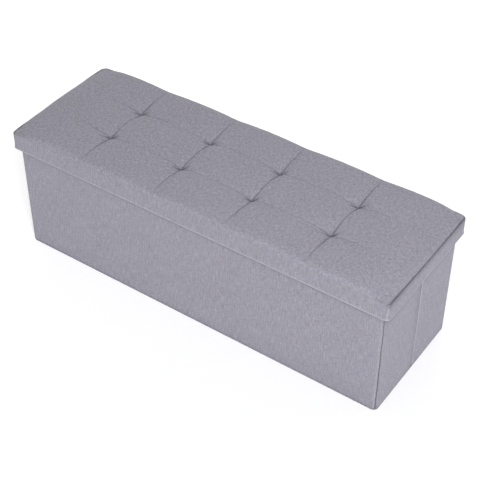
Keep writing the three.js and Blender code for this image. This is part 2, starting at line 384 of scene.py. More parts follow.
def thread(name, dark, light):
    """Twisted sewing thread."""
    made, tree, shader = new_material(name, 0.7, sheen=0.1)
    place = object_place(tree)
    inputs = {"Vector": scaled_place(tree, place, (6 * MM,) * 3), "Scale": 1.0, "Distortion": 1.5}
    wave = node(tree, "TexWave", inputs, bands_direction="DIAGONAL").outputs["Fac"]
    fuzz = noise(tree, place, (0.8 * MM,) * 3, 3, 0.6)
    colour = ramp(tree, weighted(tree, (0.5, wave), (0.4, fuzz)), (0.1, dark), (0.9, light))
    set_look(tree, shader, colour, wave, 0.2 * MM, 0.6)
    return made


# LINEN and LINEN_SEAT are one cloth; their shade factors are a painted shade that sets how bright the walls,
# band and seat come out under these lamps
LINEN = linen("linen", cloth_place, streak=0.8, shade=0.965)
LINEN_SEAT = linen("linen_seat", cloth_place, streak=0.15, shade=0.975)
LINEN_BASE = linen("linen_base", object_place, streak=0.5, shade=0.93)
NONWOVEN = nonwoven()
FIBREBOARD = fibreboard()
THREAD = thread("thread", (0.20, 0.195, 0.22), (0.42, 0.41, 0.45))
SEAM_THREAD = thread("thread_dark", (0.045, 0.043, 0.052), (0.13, 0.125, 0.145))


# ---------------------------------------------------------------- seat cushion

def lines_between(low, high, step, marks, near):
    """Sorted grid lines from low to high: every mark and the near offsets beside it, then an even fill."""
    fixed = {round(low, 7), round(high, 7)}
    for mark in marks:
        for offset in near:
            for side in (-1, 1):
                place = mark + side * offset
                if low <= place <= high:
                    fixed.add(round(place, 7))
    fixed = sorted(fixed)
    lines = []
    for a, b in zip(fixed, fixed[1:]):
        parts = max(1, round((b - a) / step))
        lines += [a + (b - a) * i / parts for i in range(parts)]
    return np.array(lines + [fixed[-1]])


GROOVE_LINES = [x * MM for x in (0, 0.6, 1.3, 2.1, 3.1, 4.2, 5.4, 6.8, 8.4, 10.2, 12.2, 14.5, 17, 20)]
EDGE_LINES = [x * MM for x in (0, 0.4, 1.1, 2.2, 3.8, 6, 9, 13, 18, 24)]
CUSHION_STEP = 7 * MM


def edge_lines(half, marks):
    inner = lines_between(-half, half, CUSHION_STEP, marks, GROOVE_LINES)
    edges = [half - e for e in EDGE_LINES]
    kept = inner[np.abs(inner) < half - EDGE_LINES[-1] - 1 * MM]
    return np.array(sorted(set(np.round(np.concatenate([kept, edges, [-e for e in edges]]), 7))))


def round_corners(x, y, radius):
    """Pulls the corners of a rectangular grid onto a rounded plan."""
    ax, ay = np.abs(x) - (HALF_X - radius), np.abs(y) - (HALF_Y - radius)
    inside = (ax > 0) & (ay > 0)
    reach = np.hypot(ax, ay)
    pull = np.where(inside, np.maximum(ax, ay) / np.maximum(reach, 1e-9), 1)
    nx = np.where(inside, np.sign(x) * (HALF_X - radius + ax * pull), x)
    ny = np.where(inside, np.sign(y) * (HALF_Y - radius + ay * pull), y)
    return nx, ny


def nearest(value, marks):
    return np.min([np.abs(value - m) for m in marks], axis=0)


def corner_distance(x, y):
    return np.hypot(HALF_X - np.abs(x), HALF_Y - np.abs(y))


def is_end(x):
    """1 on the short ends of the rim, 0 on its long sides, changing round the corner."""
    return smooth((np.abs(x) - (HALF_X - LID_CORNER)) / (0.7 * LID_CORNER))


def rim_inset(x):
    """How far the rim seam is drawn in: a clear valley on the ends, next to nothing along the sides."""
    return (0.5 + 2.3 * is_end(x)) * MM


def rim_seam(x, y):
    place = np.stack([x, y], -1)
    low = 2.3 * MM * bell(corner_distance(x, y), 22 * MM)
    wave = 0.3 * MM * ripple(place, 60 * MM, 3) + 0.5 * MM * is_end(x) * ripple(place, 45 * MM, 4)
    return SEAM - low + wave


PINCH_TURN = math.radians(35)


def groove(distance, along, strength):
    """A crease: a thin steep line in a soft valley that closes up away from its tuft."""
    fade = bell(along, 30 * MM, 1)
    wide = (0.9 + 3.4 * fade) * MM * bell(distance, (9 + 6 * fade) * MM, 1.3)
    line = (0.9 + 2.0 * fade) * MM * strength * bell(distance, 1.2 * MM, 1.2)
    return wide + line


def tuft_pinch(x, y):
    """The short fold that each tie gathers, set at an angle across both creases."""
    total = 0
    for tx in TUFT_X:
        for ty in TUFT_Y:
            dx, dy = x - tx, y - ty
            along = dx * math.cos(PINCH_TURN) + dy * math.sin(PINCH_TURN)
            across = dy * math.cos(PINCH_TURN) - dx * math.sin(PINCH_TURN)
            bent = across + 0.012 * along * np.abs(along) / (10 * MM)
            total = total + bell(np.abs(along), 18 * MM, 2.5) * bell(np.abs(bent), 2.2 * MM, 1)
    return total


def soft_height(x, y):
    """Height of the top cloth over the plan, without its sharp lines."""
    across = nearest(x, TUFT_X)
    along = nearest(y, TUFT_Y)
    tuft = np.hypot(across, along)
    pit = 4.4 * MM * bell(tuft, 11 * MM, 1.2) + 2.6 * MM * bell(tuft, 40 * MM, 1.5)
    puff = 1.0 * MM * smooth(across / (60 * MM)) * smooth(along / (50 * MM))
    droop = 16 * MM * bell(corner_distance(x, y), 55 * MM, 1.25)
    near_side = smooth((np.abs(y) - HALF_Y + 75 * MM) / (60 * MM))
    scallop = 3.4 * MM * bell(across, 60 * MM) * near_side
    ends = 7.5 * MM * smooth((np.abs(x) - (HALF_X - 80 * MM)) / (80 * MM))
    return CROWN + puff - pit - droop - scallop - ends


def crease_depth(x, y):
    across = nearest(x, TUFT_X)
    along = nearest(y, TUFT_Y)
    reach_y = 1 - 0.5 * smooth((np.abs(y) - (HALF_Y - 30 * MM)) / (26 * MM))
    reach_x = 1 - 0.8 * smooth((np.abs(x) - (HALF_X - 150 * MM)) / (70 * MM))
    across_seat = groove(across, along, 1.25) * reach_y
    along_seat = groove(along, across, 0.7) * reach_x
    return np.maximum(across_seat, along_seat) + 3.2 * MM * tuft_pinch(x, y)


def crease_shade(x, y):
    """How much painted shade the seat cloth takes in its folds, 0 to 1: strong in the pinches, thinning out
    along the creases.
    """
    across = nearest(x, TUFT_X)
    along = nearest(y, TUFT_Y)
    far_y = smooth((np.abs(y) - (HALF_Y - 34 * MM)) / (24 * MM))
    far_x = smooth((np.abs(x) - (HALF_X - 170 * MM)) / (70 * MM))
    across_seat = (0.40 + 0.40 * bell(along, 26 * MM, 1)) * (1 - 0.8 * far_y) * bell(across, 1.2 * MM)
    along_seat = (0.16 + 0.55 * bell(across, 24 * MM, 1)) * (1 - 0.8 * far_x) * bell(along, 1.1 * MM)
    pinch = 0.95 * np.clip(tuft_pinch(x, y) * 1.25, 0, 1)
    return np.max([across_seat, along_seat, pinch], axis=0)


SIM_STEP = 7 * MM
SIM_CAP = 3 * MM
SIM_FRAMES = 20
SIM_HOLD_TUFT, SIM_HOLD_EDGE, SIM_HOLD_REST = 8 * MM, 5 * MM, 0.12
SIM_CLOTH = {
    "quality": 6, "mass": 0.3, "tension_stiffness": 12, "compression_stiffness": 12, "shear_stiffness": 4,
    "bending_stiffness": 0.4, "shrink_min": -0.012, "use_pressure": True, "uniform_pressure_force": 4,
    "vertex_group_mass": "held"}


def simulate_top():
    """The seat cloth blown up under its ties: how far each point of a coarse grid moves."""
    xs = np.linspace(-HALF_X, HALF_X, round(2 * HALF_X / SIM_STEP) + 1)
    ys = np.linspace(-HALF_Y, HALF_Y, round(2 * HALF_Y / SIM_STEP) + 1)
    grid_y, grid_x = np.meshgrid(ys, xs, indexing="ij")
    start = np.stack([grid_x, grid_y, soft_height(grid_x, grid_y)], -1)
    quads = grid_quads(len(ys), len(xs))
    faces = quads[..., 0] * len(xs) + quads[..., 1]
    mesh = bpy.data.meshes.new("seat_cloth_start")
    mesh.from_pydata([tuple(p) for p in start.reshape(-1, 3)], [], faces[:, ::-1].tolist())
    cloth = add_object("seat_cloth_start", mesh)
    tuft = np.hypot(nearest(grid_x, TUFT_X), nearest(grid_y, TUFT_Y))
    edge = np.minimum(HALF_X - np.abs(grid_x), HALF_Y - np.abs(grid_y))
    hold = np.where((tuft < SIM_HOLD_TUFT) | (edge < SIM_HOLD_EDGE), 1.0, SIM_HOLD_REST)
    group = cloth.vertex_groups.new(name="held")
    for i, weight in enumerate(hold.ravel()):
        group.add([i], float(weight), "REPLACE")
    modifier = cloth.modifiers.new("cloth", "CLOTH")
    for key, value in SIM_CLOTH.items():
        setattr(modifier.settings, key, value)
    modifier.settings.effector_weights.gravity = 0
    modifier.collision_settings.use_collision = False
    modifier.point_cache.frame_start, modifier.point_cache.frame_end = 1, SIM_FRAMES
    scene = bpy.context.scene
    for step in range(1, SIM_FRAMES + 1):
        scene.frame_set(step)
    blown = cloth.evaluated_get(bpy.context.evaluated_depsgraph_get()).data
    moved = np.zeros(len(mesh.vertices) * 3, np.float32)
    blown.vertices.foreach_get("co", moved)
    moved = moved.reshape(start.shape) - start
    scene.frame_set(1)
    bpy.data.objects.remove(cloth)
    bpy.data.meshes.remove(mesh)
    size = np.linalg.norm(moved, axis=-1, keepdims=True)
    moved = moved * np.minimum(1, SIM_CAP / np.maximum(size, 1e-9)) * smooth(edge / (22 * MM))[..., None]
    return xs, ys, moved


def sampled(simulated, x, y):
    """The simulated movement at any place on the seat, read smoothly from the coarse grid."""
    if simulated is None:
        return np.zeros(x.shape + (3,))
    xs, ys, moved = simulated
    u = np.clip((x - xs[0]) / (xs[1] - xs[0]), 0, len(xs) - 1.001)
    v = np.clip((y - ys[0]) / (ys[1] - ys[0]), 0, len(ys) - 1.001)
    i, j = u.astype(int), v.astype(int)
    fu, fv = smooth(u - i)[..., None], smooth(v - j)[..., None]
    low = moved[j, i] * (1 - fu) + moved[j, i + 1] * fu
    high = moved[j + 1, i] * (1 - fu) + moved[j + 1, i + 1] * fu
    return low * (1 - fv) + high * fv


def border_distance(x, y, radius):
    ax, ay = HALF_X - np.abs(x), HALF_Y - np.abs(y)
    corner = (ax < radius) & (ay < radius)
    rounded = radius - np.hypot(radius - ax, radius - ay)
    return np.maximum(np.where(corner, rounded, np.minimum(ax, ay)), 0)


def cloth_run(points, axis):
    """Distance over the cloth from its middle line, along one direction of a grid."""
    steps = np.linalg.norm(np.diff(points, axis=axis), axis=-1)
    first = np.zeros_like(np.take(steps, [0], axis=axis))
    run = np.concatenate([first, np.cumsum(steps, axis=axis)], axis=axis)
    return run - np.take(run, [points.shape[axis] // 2], axis=axis)


def make_cushion():
    xs, ys = edge_lines(HALF_X, TUFT_X), edge_lines(HALF_Y, TUFT_Y)
    grid_y, grid_x = np.meshgrid(ys, xs, indexing="ij")
    x, y = round_corners(grid_x, grid_y, LID_CORNER)
    place = np.stack([x, y], -1)
    moved = sampled(simulate_top(), x, y)
    slack = 0.3 * MM * ripple(place, 70 * MM, 5) + 0.1 * MM * ripple(place, 17 * MM, 6)
    top = soft_height(x, y) + moved[..., 2] - crease_depth(x, y) + slack
    inset = border_distance(x, y, LID_CORNER)
    ends = smooth((np.abs(x) - (HALF_X - 20 * MM)) / (16 * MM)) * (HALF_X - np.abs(x) < HALF_Y - np.abs(y))
    turn = (11 + 15 * ends) * MM
    share = np.clip(inset / turn, 0, 1)
    lift = np.sqrt(np.clip(1 - (1 - share) ** 2.4, 0, 1))
    seam = rim_seam(x, y)
    z = np.maximum(seam + (top - seam) * lift, np.minimum(seam, TUFT_FLOOR))
    out_x = np.clip((np.abs(x) - (HALF_X - LID_CORNER)) / LID_CORNER, 0, 1) * np.sign(x)
    out_y = np.clip((np.abs(y) - (HALF_Y - LID_CORNER)) / LID_CORNER, 0, 1) * np.sign(y)
    out = np.stack([out_x, out_y], -1)
    out = out / np.maximum(np.linalg.norm(out, axis=-1, keepdims=True), 1e-9)
    tuck = rim_inset(x) * bell(z - seam, 2.2 * MM) * (inset < turn)
    points = np.stack([x, y, z], -1)
    points[..., :2] += moved[..., :2] - out * tuck[..., None]
    under = points.copy()
    under[..., 2] = np.minimum(BOARD_TOP + 0.4 * MM, z - 0.2 * MM)
    rows, columns = points.shape[:2]
    quads = grid_quads(rows, columns)
    index = quads[..., 0] * columns + quads[..., 1]
    along, across = cloth_run(points, 1), cloth_run(points, 0)
    cloth = np.stack([along[quads[..., 0], quads[..., 1]], across[quads[..., 0], quads[..., 1]]], -1)
    border = np.zeros((rows, columns), bool)
    border[0], border[-1], border[:, 0], border[:, -1] = True, True, True, True
    low = np.arange(rows * columns) + rows * columns
    low[border.ravel()] = np.flatnonzero(border.ravel())
    faces = np.concatenate([index[:, ::-1], low[index]])
    maps = np.concatenate([cloth[:, ::-1], cloth]).reshape(-1, 2)
    everything = np.concatenate([points.reshape(-1, 3), under.reshape(-1, 3)])
    # painted shade along the rim seam, strong on the short ends, and painted shade in the seat's creases
    at_rim = (RIM_SHADE + RIM_END_SHADE * is_end(x)) * bell(z - seam, 1.3 * MM) * bell(inset, 1.6 * MM)
    shade = np.maximum(crease_shade(x, y), at_rim).ravel()
    used, faces = np.unique(faces, return_inverse=True)
    shade = np.tile(shade, 2)[used]
    faces = faces.reshape(-1, 4)
    piece = add_piece("seat_cushion", everything[used], faces, LINEN_SEAT, maps, shade)
    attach(piece, "lid")
    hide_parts("seat_cover", "seat_foam")


# ---------------------------------------------------------------- skirt band

CORNERS = ((1, -1), (1, 1), (-1, 1), (-1, -1))


def rounded_plan(half_x, half_y, radii, step):
    """Points and outward normals round a rounded rectangle, anticlockwise from the middle of the front. radii
    is one radius, or one for each of CORNERS."""
    points, normals = [], []
    arc = [math.pi / 2 * i / 10 for i in range(11)]
    start = np.array([0, -half_y])
    for number, ((sx, sy), radius) in enumerate(zip(CORNERS, np.broadcast_to(radii, 4))):
        centre = np.array([sx * (half_x - radius), sy * (half_y - radius)])
        first = -math.pi / 2 + number * math.pi / 2
        begin = centre + radius * np.array([math.cos(first), math.sin(first)])
        count = max(1, round(np.linalg.norm(begin - start) / step))
        side = np.array([math.cos(first), math.sin(first)])
        for i in range(count):
            points.append(start + (begin - start) * i / count)
            normals.append(side)
        for angle in arc:
            way = np.array([math.cos(first + angle), math.sin(first + angle)])
            points.append(centre + radius * way)
            normals.append(way)
        start = points.pop()
        normals.pop()
    count = max(1, round(abs(start[0]) / step))
    for i in range(count):
        points.append(start + (np.array([0, -half_y]) - start) * i / count)
        normals.append(np.array([0, -1.0]))
    return np.array(points), np.array(normals)


TOP_TURN = 2.4 * MM
HEM_TURN = 1.7 * MM
HEM_STITCHES_UP = 11.2 * MM
BAND_SHARES = (0.04, 0.1, 0.2, 0.32, 0.44, 0.56, 0.68, 0.78, 0.84, 0.87, 0.9, 0.93, 0.96, 0.98, 1.0)
TOP_ROWS = 5
OUTER_ROWS = 1 + TOP_ROWS + len(BAND_SHARES) + 1


def skirt_profile(top, valley):
    """Rows of the band from the rim seam, down the outside, round the hem and up inside: how far out, how
    high and how free to sag each is."""
    inner_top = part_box("lid_lining")[0].z - 0.4 * MM
    rows = [(-valley - 2.2 * MM, top - 0.25 * MM, 0)]
    for k in range(TOP_ROWS):
        angle = math.pi / 2 * k / (TOP_ROWS - 1)
        rows.append((-valley * (1 - math.sin(angle)), top - TOP_TURN * (1 - math.cos(angle)), 0))
    span = top - TOP_TURN - (HEM + HEM_TURN)
    for share in BAND_SHARES:
        height = share * span
        left = span.mean() * (1 - share)
        bead = 1.5 * MM * bell(left - 1.0 * MM, 3.6 * MM)
        rows.append((bead, top - TOP_TURN - height, share * (1 - share) * 4))
    rows.append((1.1 * MM, HEM + HEM_TURN * 0.6, 0))
    for k in range(1, 6):
        angle = math.pi * k / 5
        middle = (CHANNEL - 2 * HEM_TURN) * smooth(k / 5)
        rows.append((-HEM_TURN * (1 - math.cos(angle)) - middle, HEM + HEM_TURN * (1 - math.sin(angle)), 0))
    for height in (8 * MM, 20 * MM, 30 * MM):
        rows.append((-CHANNEL, HEM + height, 0))
    rows.append((-CHANNEL, inner_top, 0))
    return rows


def make_skirt():
    plan, normal = rounded_plan(HALF_X, HALF_Y, LID_CORNER, 6 * MM)
    x, y = plan[:, 0], plan[:, 1]
    top, valley = rim_seam(x, y), rim_inset(x)
    run = lengths(plan)
    away = 1 - bell(corner_distance(x, y), 28 * MM)
    sag = (0.7 * MM * ripple(run, 140 * MM, 11) + 0.3 * MM * ripple(run, 38 * MM, 12)) * away
    apart = np.abs(corner_distance(x, y) - LID_CORNER * (math.sqrt(2) - 1))
    seam_cut = 0.2 * MM * bell(apart, 1.1 * MM)
    pucker = 0.16 * MM * ripple(run, 9 * MM, 14) * away
    rows = []
    for out, z, free in skirt_profile(top, valley):
        outside = 1.0 if free or np.max(out) > -1 * MM else 0.0
        shift = out + sag * free + (pucker - seam_cut) * outside
        rows.append(np.stack([x + normal[:, 0] * shift, y + normal[:, 1] * shift, z + 0 * x], -1))
    points = np.array(rows)
    across = lengths(points[:, 0])
    along = np.append(run, run[-1] + np.linalg.norm(plan[0] - plan[-1]))
    body, faces, cloth = sheet_mesh(points, CLOTH, across, along, ring=True)
    # painted shade on the band's top rows, stronger on the ends, and on the ends fading down from the rim
    # seam; painted highlights along the hem and down the corner seams
    shade = np.zeros(points.shape[:2])
    shade[:3] = BAND_SHADE + BAND_END_SHADE * is_end(x)
    outer = (np.arange(len(rows)) < OUTER_ROWS)[:, None]
    below = bell(np.clip(top - points[..., 2], 0, None), 13 * MM, 1.5)
    shade = np.maximum(shade, BAND_END_FALL_SHADE * is_end(x) * below * outer)
    at_hem = bell(points[..., 2] - HEM - 2.2 * MM, 2.4 * MM) * outer
    shade = shade - HEM_PAINTED_HIGHLIGHT * at_hem - BAND_CORNER_PAINTED_HIGHLIGHT * bell(apart, 1.0 * MM) * outer
    piece = add_piece("skirt_band", body, faces, LINEN, cloth, np.tile(shade.ravel(), 2))
    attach(piece, "lid")
    sides = ("front", "back", "right", "left")
    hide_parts(*[f"skirt_cover_{side}" for side in sides])
    hem_places, hem_ways = evenly(plan, normal, 5 * MM)
    at_hem = [(*(p - n * 0.15 * MM), HEM + HEM_STITCHES_UP) for p, n in hem_places]
    add_stitches("hem_stitches", at_hem, hem_ways, "lid")


def evenly(plan, normal, pitch):
    """Places at an even pitch round a closed plan: [(point, outward normal)] and the ways along it."""
    ring = np.concatenate([plan, plan[:1]])
    at = lengths(ring)
    count = int(at[-1] / pitch)
    places, ways = [], []
    for k in range(count):
        want = at[-1] * (k + 0.5) / count
        i = int(np.searchsorted(at, want)) - 1
        share = (want - at[i]) / (at[i + 1] - at[i])
        point = ring[i] + (ring[i + 1] - ring[i]) * share
        way = (ring[i + 1] - ring[i]) / (at[i + 1] - at[i])
        places.append((point, normal[i]))
        ways.append((way[0], way[1], 0))
    return places, ways


# ---------------------------------------------------------------- wall covers

NEAR_STEPS = [x * MM for x in (1, 2, 3, 4.2, 5.5, 7, 9, 11.5, 15)]


def graded(total):
    """Shares of a run from 0 to 1, fine beside both ends of a long run and even between."""
    near = NEAR_STEPS[-1]
    if total < 3 * near:
        return np.linspace(0, 1, max(1, round(total / (2 * MM))) + 1)
    middle = np.linspace(near, total - near, round((total - 2 * near) / WALL_STEP) + 1)
    ends = [0, *NEAR_STEPS[:-1]]
    return np.array([*ends, *middle, *[total - e for e in ends[::-1]]]) / total


def straight(start, end, normal, depth):
    """A straight run of a wall's plan: the point, the outward normal and the flange's depth at each place."""
    start, end = np.array(start), np.array(end)
    shares = graded(np.linalg.norm(end - start))
    return [(start + (end - start) * share, np.array(normal, float), depth) for share in shares]


def arc(centre, radius, first, last, depth):
    count = max(3, round(abs(last - first) / 9))
    turns = [math.radians(first + (last - first) * i / count) for i in range(count + 1)]
    ways = [np.array([math.cos(turn), math.sin(turn)]) for turn in turns]
    return [(np.array(centre) + radius * way, way, depth) for way in ways]


def wall_path(places):
    """Points, outward normals and flange depths of a wall's plan. Where two runs meet, one place is kept."""
    kept = places[:1] + [b for a, b in zip(places, places[1:]) if np.linalg.norm(b[0] - a[0]) > 1e-6]
    return [np.array(column) for column in zip(*kept)]


WALL_EDGE = 2.2 * MM
FLANGE_STEPS = 4
WALL_STEP = 9 * MM
NEAR_FLOOR_SHARE = 0.045


def wall_profile():
    """Rows of a cover from the inner top edge, over the face, to the inner bottom edge: (share, inset, z).
    share is how far into the flange a row lies, or None for a row of the face or its rounded edges."""
    rows = [(1 - i / FLANGE_STEPS, None, WALL_TOP) for i in range(FLANGE_STEPS)]
    edge = [WALL_EDGE * (1 - math.sin(math.pi / 2 * i / 3)) for i in range(4)]
    rows += [(None, edge[i], WALL_TOP - edge[3 - i]) for i in range(4)]
    low, high = WALL_BOTTOM + WALL_EDGE, WALL_TOP - WALL_EDGE
    face = lines_between(low, high, WALL_STEP, [low], [0, 3 * MM, 7 * MM])
    rows += [(None, 0, z) for z in face[::-1][1:]]
    rows += [(None, edge[3 - i], WALL_BOTTOM + edge[i]) for i in range(1, 4)]
    rows += [((i + 1) / FLANGE_STEPS, None, WALL_BOTTOM) for i in range(FLANGE_STEPS)]
    return rows


def make_cover(name, path, face, bulge, grooves, bodies, blend_at=None):
    """One wall's outer cloth: its face, rounded edges and the flanges over the board's top and bottom."""
    plan, normal, depth = path
    run = lengths(plan)
    facing = np.clip(normal @ np.array(face), 0, 1) ** 2
    rows, shades = [], []
    for share, inset, z in wall_profile():
        if share is None:
            inset = inset + 0 * depth
        else:
            inset = np.clip(WALL_EDGE + (depth - WALL_EDGE) * share, 0, np.maximum(depth, 0))
        on_face = 1.0 if share is None and inset.max() == 0 else 0.0
        level = (z - WALL_BOTTOM) / (WALL_TOP - WALL_BOTTOM)
        push = on_face * facing * bulge(run, level)
        cut, shade = grooves(run, level)
        out = -cut - inset
        x = plan[:, 0] + normal[:, 0] * out + face[0] * push
        y = plan[:, 1] + normal[:, 1] * out + face[1] * push
        rows.append(np.stack([x, y, z + 0 * run], -1))
        # painted shade darkening the cloth near the floor
        shades.append(shade + NEAR_FLOOR_SHADE * bell(level, NEAR_FLOOR_SHARE, 1))
    points = np.array(rows)
    across = lengths(points[:, points.shape[1] // 2])
    body, faces, cloth = sheet_mesh(points, CLOTH, across, run)
    piece = add_piece(f"cover_{name}", body, faces, LINEN, cloth, np.tile(np.ravel(shades), 2))
    if blend_at:
        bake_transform(piece)
    else:
        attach(piece, bodies[0])
    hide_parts(f"{name}_cover")


def corner_radius(sx, sy):
    """Radius of the cloth round a corner. The open one at the back left turns tightly, clear of its end."""
    return OPEN_CORNER if (sx, sy) == (-1, 1) else BODY_CORNER


def corner_arc(sx, sy, first, last):
    radius = corner_radius(sx, sy)
    centre = (sx * (BODY_HIGH.x - radius), sy * (BODY_HIGH.y - radius))
    return arc(centre, radius, first, last, WALL)


def long_wall_path(sy):
    """Front or back face between the corner seams. The open corner's cloth runs on round onto the end."""
    ends = {sx: (sx * (BODY_HIGH.x - corner_radius(sx, sy)), sy * BODY_HIGH.y) for sx in (1, -1)}
    if sy < 0:
        (first, *first_arc), (last, *last_arc) = (-1, 225, 270), (1, 270, 315)
    else:
        (first, *first_arc), (last, *last_arc) = (1, 45, 90), (-1, 90, 180)
    middle = straight(ends[first], ends[last], (0, sy), WALL)
    return wall_path(corner_arc(first, sy, *first_arc) + middle + corner_arc(last, sy, *last_arc))


CREASE_EDGE = 3.2 * MM
CREASE_HALF_GAP = 0.6 * MM
CREASE_DEPTH, CREASE_INNER_DEPTH = 0.9 * WALL, 1.0 * MM
OPEN_END_GAP = 1.2 * MM


def end_wall_path(sx, sy, with_corner):
    """Half of an end, from its corner seam to the crease, always with the outside on the right hand."""
    x = sx * BODY_HIGH.x
    edge = sy * (CREASE_EDGE + CREASE_HALF_GAP)
    outwards = 0 if sx > 0 else 180
    places, start_y = [], sy * (BODY_HIGH.y - WALL - OPEN_END_GAP)
    if with_corner:
        places += corner_arc(sx, sy, outwards + 45 * sy * sx, outwards)
        start_y = sy * (BODY_HIGH.y - BODY_CORNER)
    places += straight((x, start_y), (x, edge), (sx, 0), WALL)
    centre = (x - sx * CREASE_EDGE, edge)
    places += arc(centre, CREASE_EDGE, outwards, outwards - 90 * sy * sx, CREASE_DEPTH)
    outer, inner = [(x - sx * inset, sy * CREASE_HALF_GAP) for inset in (CREASE_EDGE, WALL - CLOTH)]
    places += straight(outer, inner, (0, -sy), CREASE_INNER_DEPTH)
    path = wall_path(places)
    return [column[::-1] for column in path] if sx * sy > 0 else path


def seam_dip(run, level, ends):
    """How far the cloth dips towards a seam at the start or end of its run, and the painted shade in the dip,
    with a painted highlight 5 mm beside it. The seam is pulled tighter towards the floor, where both are
    stronger."""
    cut, shade = 0 * run, 0 * run
    tight = smooth(1.15 - level)
    for end, away in (("start", run), ("end", run[-1] - run)):
        if end in ends:
            cut = cut + 0.55 * MM * bell(away, 1.8 * MM, 1.3)
            shade = shade + (SEAM_SHADE + SEAM_LOW_SHADE * tight) * bell(away, 1.2 * MM)
            shade = shade - SEAM_LOW_PAINTED_HIGHLIGHT * tight * bell(away - 5 * MM, 2.6 * MM)
    return cut, shade


LEVEL_SPAN = 360 * MM  # about a wall's height, so that a wander is as long upwards as it is along


def wall_wander(run, level, wavelength, seed):
    return 0.5 * MM * ripple(np.stack([run, 0 * run + level * LEVEL_SPAN], -1), wavelength, seed)


def long_bulge(seed):
    """A long wall puffs out a little, flat at its edges."""
    def shape(run, level):
        total = run[-1]
        sides = smooth(run / (60 * MM)) * smooth((total - run) / (60 * MM))
        rise = math.sin(math.pi * min(max(level, 0), 1)) ** 0.7
        wander = wall_wander(run, level, 220 * MM, seed)
        return (0.9 * MM + wander) * sides * rise
    return shape


CREASE_FLANGE = WALL - CLOTH - CREASE_EDGE + CREASE_EDGE * math.pi / 2
HALF_RUN = BODY_HIGH.y - BODY_CORNER - CREASE_EDGE - 3 * MM
FOLD_ROOM = math.radians(2)


def end_bulge(crease_at_start, seed):
    """A half end puffs out in its middle. Fully folded, the two halves of an end face each other two degrees
    short of flat each, with their hinge line in the plane of their faces, so the bulge grows from the crease
    no faster than that wedge."""
    def shape(run, level):
        away = (run if crease_at_start else run[-1] - run) - CREASE_FLANGE
        share = np.clip(away / HALF_RUN, 0, 1)
        rise = 3.4 * MM * (1 - share) ** 0.8
        wander = wall_wander(run, level, 130 * MM, seed)
        sides = smooth((HALF_RUN - away) / (25 * MM))
        wanted = (rise + wander * smooth(min(level, 1 - level) / 0.08)) * sides
        room = math.tan(FOLD_ROOM) * (away + CREASE_EDGE + CREASE_HALF_GAP) - 0.2 * MM
        return np.clip(wanted, 0, np.maximum(room, 0)) * smooth((min(level, 1 - level) + 0.012) / 0.03)
    return shape


BLEND_HEIGHT = 180 * MM  # any height along the upright hinge lines
SIDES = (("right", 1), ("left", -1))
DEPTHS = (("front", -1, "front_panel"), ("rear", 1, "box_back"))


def end_grooves(crease_at_start, corner_end, front):
    """The seam dip at an end half's corner, and painted shade under the hem and in its crease: dark inside,
    the front half turning softly away from the light, and on the rear half a painted highlight on the fold
    edge that faces it."""
    def grooves(run, level):
        cut, shade = seam_dip(run, level, () if corner_end is None else (corner_end,))
        away = (run if crease_at_start else run[-1] - run) - CREASE_FLANGE
        low = np.clip((HEM - 8 * MM - WALL_BOTTOM) / (WALL_TOP - WALL_BOTTOM) - level, 0, 1)
        under_hem = UNDER_HEM_FRONT_SHADE if front else UNDER_HEM_REAR_SHADE
        under_hem = under_hem * bell(low, 0.05, 1.4) * (away > -1 * MM)
        if front:
            inside = CREASE_INNER_SHADE * bell(np.maximum(away + 2.6 * MM, 0), 1.2 * MM)
            turning = CREASE_FRONT_SHADE + CREASE_FRONT_HIGH_SHADE * level
            turning = turning * bell(np.maximum(away, 0), 16 * MM, 1.3) * (away > -1 * MM)
            return cut, np.maximum(shade + inside + turning, under_hem)
        inside = CREASE_INNER_SHADE * bell(np.maximum(away + 3.9 * MM, 0), 0.9 * MM)
        # painted shade inside the crease and a painted highlight on the rear half's fold edge
        painted_highlight = (CREASE_REAR_PAINTED_HIGHLIGHT + CREASE_REAR_HIGH_PAINTED_HIGHLIGHT * level) * bell(away + 0.6 * MM, 2.3 * MM)
        return cut, np.maximum(shade, under_hem) + inside - painted_highlight
    return grooves


def make_covers():
    for name, sy, seed, seams, body in (
        ("front", -1, 21, ("start", "end"), "front_panel"),
        ("back", 1, 22, ("start",), "box_back"),
    ):
        dips = functools.partial(seam_dip, ends=seams)
        make_cover(name, long_wall_path(sy), (0, sy), long_bulge(seed), dips, [body])
    hinge = BODY_HIGH.y - WALL
    for side, sx in SIDES:
        for depth, sy, neighbour in DEPTHS:
            open_corner = side == "left" and depth == "rear"
            path = end_wall_path(sx, sy, with_corner=not open_corner)
            crease_first = abs(path[0][0][1]) < abs(path[0][-1][1])
            corner_end = "end" if crease_first else "start"
            dips = end_grooves(crease_first, None if open_corner else corner_end, front=sy < 0)
            shape = end_bulge(crease_first, 23 + sx + 2 * sy)
            own = f"{side}_{depth}"
            if open_corner:
                make_cover(own, path, (sx, 0), shape, dips, [own])
                continue
            x = sx * BODY_HIGH.x
            start = (x, sy * (hinge + 1 * MM), BLEND_HEIGHT)
            end = (x, sy * (hinge - 5 * MM), BLEND_HEIGHT)
            make_cover(own, path, (sx, 0), shape, dips, [neighbour, own], (start, end))


def cord_mesh(places, radius, sides=8):
    """A round cord through the places, closed at both ends. radius has one value for each place."""
    places = [Vector(p) for p in places]
    points, faces = [], []
    for i, place in enumerate(places):
        way = (places[min(i + 1, len(places) - 1)] - places[max(i - 1, 0)]).normalized()
        points += ring_round(place, way, way.cross(Vector((1, 0.3, 0))).normalized(), radius[i], sides)
    for i in range(len(places) - 1):
        for k in range(sides):
            a, b = i * sides + k, i * sides + (k + 1) % sides
            faces.append((a, b, b + sides, a + sides))
    faces.append(tuple(reversed(range(sides))))
    faces.append(tuple(range((len(places) - 1) * sides, len(places) * sides)))
    return points, faces


SEAM_CORD_LOOSE, SEAM_CORD_TIGHT = 0.42 * MM, 0.88 * MM


